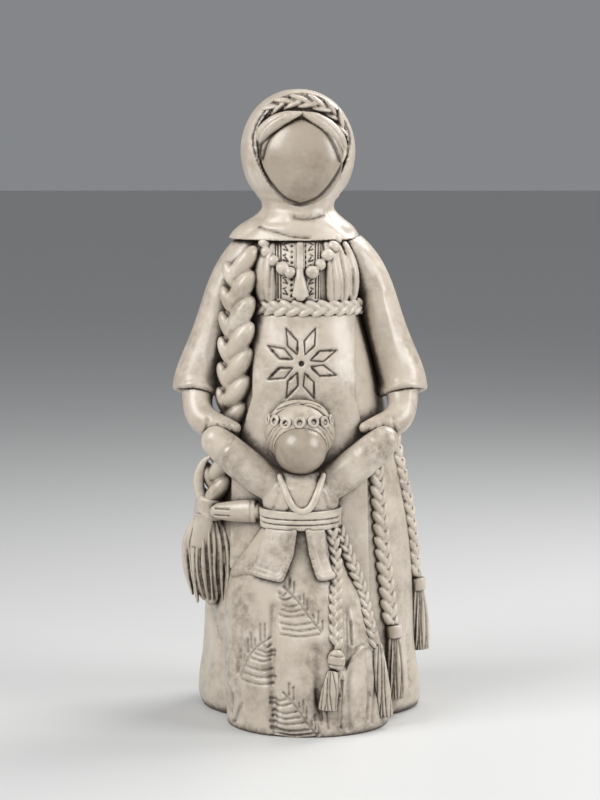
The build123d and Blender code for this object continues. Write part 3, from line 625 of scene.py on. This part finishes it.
def makeYoke():
    piece = cloth("shirtYoke", ["shirt_yoke"], grain=0.13, passes=2, swell=0.06)
    span = yoke["high"] - yoke["low"]
    lines = []
    dots = []
    for inset in yoke["rails"]:
        for x in (yoke["left"] + inset, yoke["right"] - inset):
            lines.append([(x, yoke["low"]), (x, yoke["high"])])
    for row in range(yoke["rows"]):
        z = yoke["low"] + span * (row + 0.5) / yoke["rows"]
        for x, way in yoke["columns"]:
            lines.append([(x - way * 0.9, z - 0.2), (x + way * 0.2, z - 0.5), (x - way * 0.5, z + 0.6)])
            lines.append([(x - way * 0.9, z + 0.9), (x - way * 0.3, z + 1.2)])
            for rise in (-0.75, 0.6):
                dots.append([(x + way * 1.15, z + rise), (x + way * 1.17, z + rise)])
    work(piece, lines, width=0.2, depth=-0.32, patinashade=0.95)
    work(piece, dots, width=0.3, depth=-0.5, patinashade=1.0)
    finishPiece(piece, "trim", trimFinish, "shirt_yoke")
    piece = cloth("shirtPlacket", ["shirt_placket"], grain=0.13, passes=2, swell=0.06)
    work(piece, [[(x, 101), (x, 116)] for x in yoke["seams"]], width=0.18, depth=-0.25, patinashade=0.6)
    finishPiece(piece, "trim", trimFinish, "shirt_placket")


gathers = {"left": [[(-8.0, 101), (-7.6, 106), (-6.9, 112)]],
           "right": [[(7.7, 101), (7.5, 106), (6.8, 112)], [(10, 101), (10, 106), (9, 112)],
                     [(12.2, 102), (12.1, 108)]]}


def makeGathers():
    for word, lines in gathers.items():
        node = "bodice_gathers_" + word
        piece = cloth("bodiceGathers" + word.capitalize(), [node], grain=0.34, passes=26, swell=0.4)
        work(piece, [bend(line) for line in lines], width=0.3, depth=-0.35, patinashade=0.5)
        finishPiece(piece, "dress", dressFinish, node)


necklace = {"beads": [(-9.0, 114.2), (-8.5, 112.1), (-6.8, 110.3), (-4.6, 108.6), (-2.8, 107.6), (2.4, 107.7),
                      (4.3, 109.4), (6.0, 111.6), (7.4, 113.4), (8.2, 115.1)],
            "long": 2.9, "wide": 3.1, "deep": 2.7, "sink": -0.55}


def makeNecklace():
    bead = makeLobe("bead", necklace["long"], necklace["wide"], necklace["deep"])
    parts = []
    beads = necklace["beads"]
    for number, at in enumerate(follow(beadGround, beads, [necklace["sink"]] * len(beads))):
        parts.append(copyAt(bead, at, Vector((1, 0, 0)), Vector((0, -1, 0)), Vector((0, 0, 1)),
                            number * 1.3, 1 + 0.1 * math.sin(number * 2.7)))
    bpy.data.objects.remove(bead)
    piece = fuse(joinAll("beadNecklace", parts), 0.13, 2)
    finishPiece(piece, "trim", trimFinish, "bead_necklace")
    piece = cloth("necklacePendant", ["necklace_pendant"], grain=0.12, passes=4, swell=0.35)
    finishPiece(piece, "trim", trimFinish, "necklace_pendant")


waist = {"midX": 0.4, "midY": 4.6, "halfWidth": 14.3, "halfDepth": 13.9, "z": 99.0, "spots": 24, "width": 3.5,
         "step": 3.0, "tilt": 30, "depth": 2.3, "grain": 0.2}


def makeWaistPlait():
    route = []
    for number in range(waist["spots"] + 1):
        turn = math.tau * number / waist["spots"]
        route.append((waist["midX"] + waist["halfWidth"] * math.sin(turn),
                      waist["midY"] + waist["halfDepth"] * math.cos(turn), waist["z"]))

    def outward(share):
        turn = math.tau * share
        return (math.sin(turn), math.cos(turn), 0)

    piece = plait("waistPlait", route, outward, waist["width"], waist["step"], waist["grain"], waist["tilt"],
                  depth=waist["depth"])
    return finishPiece(piece, "trim", trimFinish, "waist_plait")


# what the beads lie on, taken before the yoke and the gathers replace their nodes
beadGround = [treeOf(bodicePiece), treeOf(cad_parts["shirt_yoke"]),
              treeOf(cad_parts["bodice_gathers_left"]), treeOf(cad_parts["bodice_gathers_right"])]
makeYoke()
makeGathers()
makeNecklace()
makeWaistPlait()
print("stage: bodice trim")


sleeves = {"left": {"folds": [[(-17, 108), (-20, 98), (-22, 88)], [(-22.5, 97), (-25, 86), (-26, 79)],
                              [(-19, 90), (-21, 82)]],
                    "backFolds": [[(-15, 108), (-20, 96), (-23, 80)], [(-20, 104), (-25, 90), (-28, 80)]]},
           "right": {"folds": [[(16.5, 109), (19, 98), (20, 88), (19.5, 80)], [(21, 101), (24, 90), (26, 80)],
                               [(15, 102), (16.5, 94)]],
                     "backFolds": [[(15, 108), (20, 96), (22, 80)], [(19, 104), (24, 90), (27, 80)]]}}
# the cuffs' middles, and the part of each that rises over the wrist
cuff = {"reach": 25.2, "halfSpan": 4.6, "top": 83.0, "rise": 2.6, "lip": 0.75, "lipHeight": 1.3}
# the gaps between the fingers run from a foot to a top, and each next one is a little further out
hand = {"footX": 16.2, "footStep": 1.5, "footZ": 67.3, "topX": 16.6, "topStep": 1.6, "topZ": 71.4, "gaps": 3,
        "wrist": [(22.6, 67.6), (22.2, 72.6)]}
armShift = -0.5  # the line that the two cuffs are even about
handShift = -0.4  # the same for the hands


def arch(piece, middle):  # lifts the front of a cuff over the wrist, rolls its lip out
    spots = readPoints(piece)
    low = spots[:, 2].min()
    share = np.clip((cuff["top"] - spots[:, 2]) / (cuff["top"] - low), 0, 1)
    inside = np.clip(1 - ((spots[:, 0] - middle) / cuff["halfSpan"]) ** 2, 0, 1)
    front = np.clip((3.0 - spots[:, 1]) / 4, 0, 1)
    spots[:, 2] += cuff["rise"] * share ** 2 * inside * front
    writePoints(piece, spots)
    low = spots[:, 2].min()
    above = spots[:, 2] - low - 1.2 - cuff["rise"] * inside * front
    move(piece, cuff["lip"] * np.exp(-(above / cuff["lipHeight"]) ** 2))


def makeArms():
    for word, lines in sleeves.items():
        side = -1 if word == "left" else 1
        piece = cloth("sleeve" + word.capitalize(), ["sleeve_" + word], grain=0.33, passes=14, swell=0.14)
        work(piece, [bend(line) for line in lines["folds"]], width=2.0, depth=-0.45)
        work(piece, [bend(line) for line in lines["backFolds"]], width=1.7, depth=-0.7, side=1)
        arch(piece, side * cuff["reach"] + armShift)
        finishPiece(piece, "dress", dressFinish, "sleeve_" + word)
        piece = cloth("hand" + word.capitalize(), ["hand_" + word], grain=0.24, passes=5, swell=0.1)
        fingers = [[(side * (hand["footX"] + hand["footStep"] * n) + handShift, hand["footZ"]),
                    (side * (hand["topX"] + hand["topStep"] * n) + handShift, hand["topZ"])]
                   for n in range(hand["gaps"])]
        wrist = [[(side * x + handShift, z) for x, z in hand["wrist"]]]
        work(piece, fingers, width=0.3, depth=-0.25, patinashade=0.3)
        work(piece, wrist, width=0.45, depth=-0.35, patinashade=0.3)
        finishPiece(piece, "hands", handFinish, "hand_" + word)


braid = {"route": [(-14.5, -4.2, 112.6), (-15.2, -4.9, 105.5), (-15.6, -5.2, 96), (-16.0, -5.2, 87),
                   (-16.7, -4.8, 78), (-18.2, -3.8, 69), (-20.2, -3.2, 61), (-22.0, -2.8, 51.5)],
         "outward": (-0.35, -1, 0), "width": 8.0, "depth": 5.2, "step": 6.3, "grain": 0.24, "tilt": -30.0,
         "lead": -1}


def makeBraid():  # the first strand is left out
    piece = plait("longBraid", braid["route"], braid["outward"], braid["width"], braid["step"],
                  braid["grain"], braid["tilt"], depth=braid["depth"], lead=braid["lead"], skip=1,
                  taper=lambda share: 0.88 + 0.12 * math.sin(math.pi * min(1, share * 1.4)))
    return finishPiece(piece, "hair", hairFinish, "long_braid")


def strands(node, count, sway=0.6):  # grooves that fan down a tassel, from its box
    low, high = (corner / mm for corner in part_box(node))
    middle = (low.x + high.x) / 2
    out = []
    for number in range(count):
        share = (number + 0.5) / count - 0.5
        top = middle + share * (high.x - low.x) * 0.55
        foot = middle + share * (high.x - low.x)
        halfway = ((top + foot) / 2 + sway * math.sin(number * 1.9), (low.z + high.z) / 2)
        out.append(bend([(top, high.z), halfway, (foot, low.z)]))
    return out


def makeTassel(name, node, count, width=0.24, depth=-0.42, grain=0.16):
    piece = cloth(name, [node], grain, passes=2, swell=0.1)
    work(piece, strands(node, count), width, depth, patinashade=0.6)
    work(piece, strands(node, count), width, depth, side=1, patinashade=0.6)
    return finishPiece(piece, "cords", cordFinish, node)


# the braid's tie and tassel; each tassel row has its left end, its width and its height
tie = {"loop": [(-22.9, -3.8, 50.5), (-24.6, -3.4, 54), (-24.9, -3.2, 58), (-23.7, -3.4, 61.4),
                (-22.4, -4.0, 62.6)],
       "loopRadii": (1.0, 1.35, 1.4, 1.1, 0.5), "strands": 8, "strandRadii": (0.8, 1.05, 1.0, 0.45),
       "strandSink": (0.3, 0.1, 0.1, 0.1),
       "rows": [(-25.4, 5.2, 48.2), (-28.0, 9.6, 42), (-28.0, 9.9, 35), (-26.6, 8.6, 28.8)]}


def makeTie():
    band = cloth("band", ["braid_tie"], grain=0.16, passes=6, swell=0.85)
    loop = strand("loop", tie["loop"], tie["loopRadii"], flat=0.8, grain=0.18)
    piece = fuse(joinAll("braidTie", [band, loop]), 0.18, 3)
    finishPiece(piece, "trim", trimFinish, "braid_tie")


def makeBraidTassel():
    ground = [treeOf(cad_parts["braid_tassel"]), treeOf(skirtPiece)]
    parts = [cloth("core", ["braid_tassel"], grain=0.2, passes=8)]
    lines = []
    for number in range(tie["strands"]):
        share = number / (tie["strands"] - 1)
        sway = 0.55 * math.sin(number * 2.1)
        line = [(left + width * share, z) for left, width, z in tie["rows"]]
        line[1] = (line[1][0], line[1][1] + sway)
        line[2] = (line[2][0] + sway, line[2][1])
        line[3] = (line[3][0], line[3][1] - 1.6 * abs(math.sin(number * 1.7)))
        lines.append(line)
        parts.append(strand("lock", follow(ground, line, tie["strandSink"]), tie["strandRadii"], 0.95, 0.2))
    piece = fuse(joinAll("braidTassel", parts), 0.2, 2)
    gaps = []
    for left, right in zip(lines, lines[1:]):
        gaps.append(bend([((a[0] + b[0]) / 2, (a[1] + b[1]) / 2) for a, b in zip(left, right)]))
    work(piece, gaps, width=0.3, depth=-0.4, patinashade=0.75)
    finishPiece(piece, "cords", cordFinish, "braid_tassel")


def makeRibbon():
    for name, node in (("tieRibbonLoop", "tie_ribbon_loop"), ("tieRibbonTail", "tie_ribbon_tail")):
        piece = cloth(name, [node], grain=0.16, passes=3, swell=0.08)
        finishPiece(piece, "cords", cordFinish, node)
    piece = cloth("claspingHand", ["clasping_hand"], grain=0.18, passes=4, swell=0.08)
    work(piece, [[(-21, z), (-17.6, z)] for z in (49.2, 50.9)], width=0.24, depth=-0.4, patinashade=0.8)
    work(piece, [[(-12.4, 47.2), (-12.2, 53.4)]], width=0.3, depth=-0.2, patinashade=0.2)
    finishPiece(piece, "hands", handFinish, "clasping_hand")


makeArms()
makeBraid()
makeTie()
makeBraidTassel()
makeRibbon()
print("stage: arms and braid")


# cords that hang at both skirts; one with a lift lies that far off the child's dress
hangingCords = {
    "innerCord": {"node": "inner_cord", "outward": (0.55, -1, 0), "width": 3.7, "step": 3.1, "lead": 0.35,
                  "line": [(17.3, 63.5), (17.9, 57), (18.5, 50), (19.1, 43), (19.8, 36), (20.6, 29),
                           (21.3, 22)]},
    "outerCord": {"node": "outer_cord", "outward": (1, -0.75, 0), "width": 3.7, "step": 3.1, "lead": 0.35,
                  "line": [(22.3, 67), (23.6, 60), (25.2, 53), (26.4, 46), (27.2, 39), (27.7, 31.5)]},
    "shortBeltCord": {"node": "short_belt_cord", "outward": (0, -1, 0), "width": 2.7, "step": 2.4, "lead": 0,
                      "lift": 0.5, "line": [(6.4, 47.2), (7.4, 41), (7.6, 35), (7.6, 29), (7.8, 21)]},
    "longBeltCord": {"node": "long_belt_cord", "outward": (0.4, -1, 0), "width": 2.7, "step": 2.4, "lead": 0,
                     "lift": 0.5,
                     "line": [(8.0, 47.2), (10.4, 42), (12.4, 37), (13.9, 31), (15.2, 25.5), (16.6, 20)]},
}


def middleDepth(node, z):  # how deep a node's middle lies at one height
    spots = readPoints(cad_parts[node])
    near = spots[np.abs(spots[:, 2] - z) < 3.0]
    if not len(near):
        near = spots[np.argsort(np.abs(spots[:, 2] - z))[:20]]
    return float((near[:, 1].min() + near[:, 1].max()) / 2)


def makeHangingCords():
    childFront = [treeOf(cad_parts[node]) for node in ("child_skirt", "child_torso")]
    for name, cord in hangingCords.items():
        route = []
        for x, z in cord["line"]:
            if "lift" in cord:
                spot = onSurface(childFront, x, z, cord["lift"]) or Vector((x, route[-1].y, z))
            else:
                spot = Vector((x, middleDepth(cord["node"], z), z))
            route.append(spot)
        piece = plait(name, route, cord["outward"], cord["width"], cord["step"], 0.15, lead=cord["lead"])
        finishPiece(piece, "cords", cordFinish, cord["node"])


def makeCordEnds():
    for word in ("inner", "outer"):
        piece = cloth(word + "CordFerrule", [word + "_cord_ferrule"], grain=0.14, passes=2, swell=0.15)
        finishPiece(piece, "cords", cordFinish, word + "_cord_ferrule")
    piece = cloth("shortCordKnot", ["short_cord_knot"], grain=0.13, passes=2, swell=0.12)
    work(piece, [[(5.5, 19.4), (9.8, 18.8)], [(5.6, 17.0), (9.5, 16.6)]], width=0.25, depth=-0.35, patinashade=0.5)
    finishPiece(piece, "cords", cordFinish, "short_cord_knot")
    makeTassel("innerCordTassel", "inner_cord_tassel", 6)
    makeTassel("outerCordTassel", "outer_cord_tassel", 6)
    makeTassel("shortCordTassel", "short_cord_tassel", 5, width=0.18, depth=-0.35, grain=0.12)
    makeTassel("longCordTassel", "long_cord_tassel", 5, width=0.18, depth=-0.35, grain=0.12)


makeHangingCords()
makeCordEnds()
print("stage: hanging cords")


# the child; each fold or ridge is its line, its width and its depth
child = {"faceX": -0.4, "headZ": 66.4, "strandReaches": (6.8, 7.6, 8.3),
         "strandTurns": (30, 50, 75, 100, 125),
         "hemRoll": [(-18.2, 35.6), (-16.0, 36.9), (-13.8, 37.9), (-11.8, 38.2)],
         "neckLine": [(-5.2, 59.8), (-3.7, 56.2), (-2.1, 53.2), (0, 52.1), (2.0, 53.2), (3.7, 56.6),
                      (4.9, 60)],
         "folds": [([(-6.8, 30), (-7.2, 16), (-6.6, 2)], 0.9, -0.9),
                   ([(10.4, 28), (10.6, 14), (11, 2)], 0.8, -0.8),
                   ([(3.5, 20), (3.8, 12), (4.0, 5)], 1.2, -1.2),
                   ([(-14.5, 26), (-15.5, 14), (-15, 3)], 0.8, -0.6),
                   ([(15.5, 19), (16.5, 9)], 0.7, -0.6)],
         "ridges": [([(-5, 32), (-4.8, 18), (-4.8, 3)], 1.0, 0.5), ([(8.8, 30), (9, 14), (9, 3)], 1.0, 0.5)]}


def fern(stem, side, count, edge, tall):  # level leaves under a slanting stem and upright ones above it
    line = bend(stem)
    out = [line]
    for number in range(count):
        root = line[int((0.02 + 0.9 * number / (count - 1)) * (len(line) - 1))]
        reach = edge - root[0] + 0.5 * math.sin(number * 1.7)
        if abs(reach) > 1.4:
            out.append(bend([tuple(root + (side * 0.4, -0.45)), tuple(root + (reach * 0.55, -0.95)),
                             tuple(root + (reach, -0.4))], 4))
        rise = tall * (0.7 + 0.3 * math.sin(number * 2.2))
        out.append([tuple(root + (-side * 0.35, 0.55)), tuple(root + (-side * 0.1 * rise, rise))])
    return out


ferns = (fern([(-14.9, 12.8), (-12.9, 17.6), (-10.5, 20.8), (-7.4, 22.8)], 1, 8, -6.9, 4.8)
         + fern([(4.6, 24.4), (1.4, 28.2), (-1.2, 31.6), (-4.4, 34.8)], -1, 8, -5.0, 3.4)
         + fern([(3.6, 0.4), (1.2, 3.4), (-1.4, 7.2), (-4.4, 10.6)], -1, 8, -7.0, 4.0)
         + [[(-16.2, 1.2), (-14.3, 6.5)], [(-17, 3), (-16.6, 8)], [(9.2, 2), (9.6, 13)],
            [(11.6, 21), (11.4, 26)], [(16.6, 2), (17.6, 12)], [(15.4, 3), (15.8, 9)], [(6.2, 2), (5.2, 12)],
            [(4.6, 3), (3.4, 11)]])
patch = [(9.2, 9), (10.2, 14.5), (12.4, 18.4), (15.2, 19.8), (17.6, 17.5)]


def makeChildSkirt():
    piece = cloth("childSkirt", ["child_skirt"], grain=0.3, passes=5, swell=0.05)
    for line, width, depth in child["folds"] + child["ridges"]:
        # each fold's depth also darkens its colour: painted shade along the folds
        work(piece, [bend(line)], width, depth, patinashade=max(0, -0.28 * depth))
    work(piece, ferns, width=0.31, depth=-0.55, patinashade=0.4)
    work(piece, [bend(patch)], width=0.4, depth=0.4)
    work(piece, [bend([(x - 0.5, z + 0.6) for x, z in patch])], width=0.3, depth=-0.35, patinashade=0.4)
    work(piece, [bend(child["hemRoll"])], width=0.9, depth=0.75)
    work(piece, [bend([(x, z - 1.3) for x, z in child["hemRoll"]])], width=0.35, depth=-0.35, patinashade=0.55)
    finishPiece(piece, "child_dress", childFinish, "child_skirt")


# the jacket: folds and sleeve seams, drawn once and mirrored, the collar's creases and the tails' rims
jacket = {"folds": [(12.5, 65), (14.5, 61), (13.5, 57)], "seams": [(14.6, 69.4), (18.2, 66.4), (20.2, 62.6)],
          "creases": [[(-5.5, 56), (-6.8, 52.4)], [(5, 56), (6.2, 52.4)], [(-2.4, 53.2), (-3.4, 52)]],
          "rims": {"left": [(-1.8, 47.4), (-2.7, 41.8), (-4.9, 36.8), (-8.5, 37.1), (-12.2, 37.9)],
                   "right": [(1.4, 47.4), (2.4, 41.8), (4.1, 37), (7.1, 37)]}}


def makeChildJacket():
    nodes = ["child_torso", "child_arm_left", "child_arm_right"]
    coat = cloth("childJacket", nodes, grain=0.26, passes=8, swell=0.1)
    for side in (-1, 1):
        work(coat, [bend([(side * x, z) for x, z in jacket["folds"]])], width=1.2, depth=-0.3)
        work(coat, [bend([(side * x, z) for x, z in jacket["seams"]])], width=0.5, depth=-0.25, patinashade=0.3)
    work(coat, jacket["creases"], width=0.4, depth=-0.35, patinashade=0.2)
    finishPiece(coat, "child_dress", childFinish, *nodes)
    piece = cloth("childBelt", ["child_belt"], grain=0.15, passes=2, swell=0.1)
    work(piece, [[(-12, z), (12, z)] for z in (50.1, 48.85)], width=0.2, depth=-0.4, patinashade=0.8)
    finishPiece(piece, "trim", trimFinish, "child_belt")
    route = follow([treeOf(coat)], child["neckLine"], [-0.3] * len(child["neckLine"]))
    piece = rope("neckTrim", route, radius=0.85, grain=0.15)
    finishPiece(piece, "trim", trimFinish, "neck_trim")
    for word, rim in jacket["rims"].items():
        node = "jacket_tail_" + word
        piece = cloth("jacketTail" + word.capitalize(), [node], grain=0.17, passes=5, swell=0.12)
        work(piece, [bend(rim)], width=0.75, depth=0.7)
        finishPiece(piece, "child_dress", childFinish, node)


ring = {"radius": 1.05, "thick": 0.42, "count": 7, "spread": 76.0, "midX": -0.6, "midY": -12.5,
        "halfWidth": 7.6, "halfDepth": 6.9, "z": 72.9}


def makeFlowerBand():
    bpy.ops.object.select_all(action="DESELECT")
    bpy.ops.mesh.primitive_torus_add(major_segments=20, minor_segments=10, major_radius=ring["radius"] * mm,
                                     minor_radius=ring["thick"] * mm)
    master = bpy.context.object
    parts = []
    for number in range(ring["count"]):
        turn = math.radians(-ring["spread"] + 2 * ring["spread"] * number / (ring["count"] - 1))
        outward = Vector((math.sin(turn), -math.cos(turn), 0.12)).normalized()
        spot = (ring["midX"] + ring["halfWidth"] * math.sin(turn),
                ring["midY"] - ring["halfDepth"] * math.cos(turn), ring["z"] + 0.2 * math.sin(number * 2.1))
        copy = master.copy()
        copy.data = master.data.copy()
        bpy.context.collection.objects.link(copy)
        facing = outward.to_track_quat("Z", "Y").to_matrix().to_4x4()
        copy.data.transform(Matrix.Translation(Vector(spot) * mm) @ facing)
        parts.append(copy)
    bpy.data.objects.remove(master)
    piece = joinAll("flowerBand", parts)
    fuse(piece, 0.11, 1, 0.04)
    return finishPiece(piece, "trim", trimFinish, "flower_band")


def makeChildHead():
    piece = cloth("childFace", ["child_face"], grain=0.22, passes=8, swell=0.05)
    finishPiece(piece, "skin", skinFinish, "child_face")
    piece = cloth("childHair", ["child_hair"], grain=0.2, passes=3, swell=0.06)
    strandLines = []
    for side in (-1, 1):
        for reach in child["strandReaches"]:
            strandLines.append(bend([(child["faceX"] + side * reach * math.sin(math.radians(turn)),
                                      child["headZ"] + reach * math.cos(math.radians(turn)))
                                     for turn in child["strandTurns"]]))
    work(piece, strandLines, width=0.22, depth=-0.3, patinashade=0.5)
    finishPiece(piece, "hair", hairFinish, "child_hair")
    piece = cloth("childHairCrest", ["child_hair_crest"], grain=0.14, passes=2, swell=0.12)
    parting = [(-6, 75.6), (-1, 77.2), (0, 76.6), (2, 77.2), (6, 75.4)]
    work(piece, [bend(parting)], width=0.22, depth=-0.3, patinashade=0.6)
    finishPiece(piece, "hair", hairFinish, "child_hair_crest")


makeChildSkirt()
makeChildJacket()
makeChildHead()
makeFlowerBand()
print("stage: child")
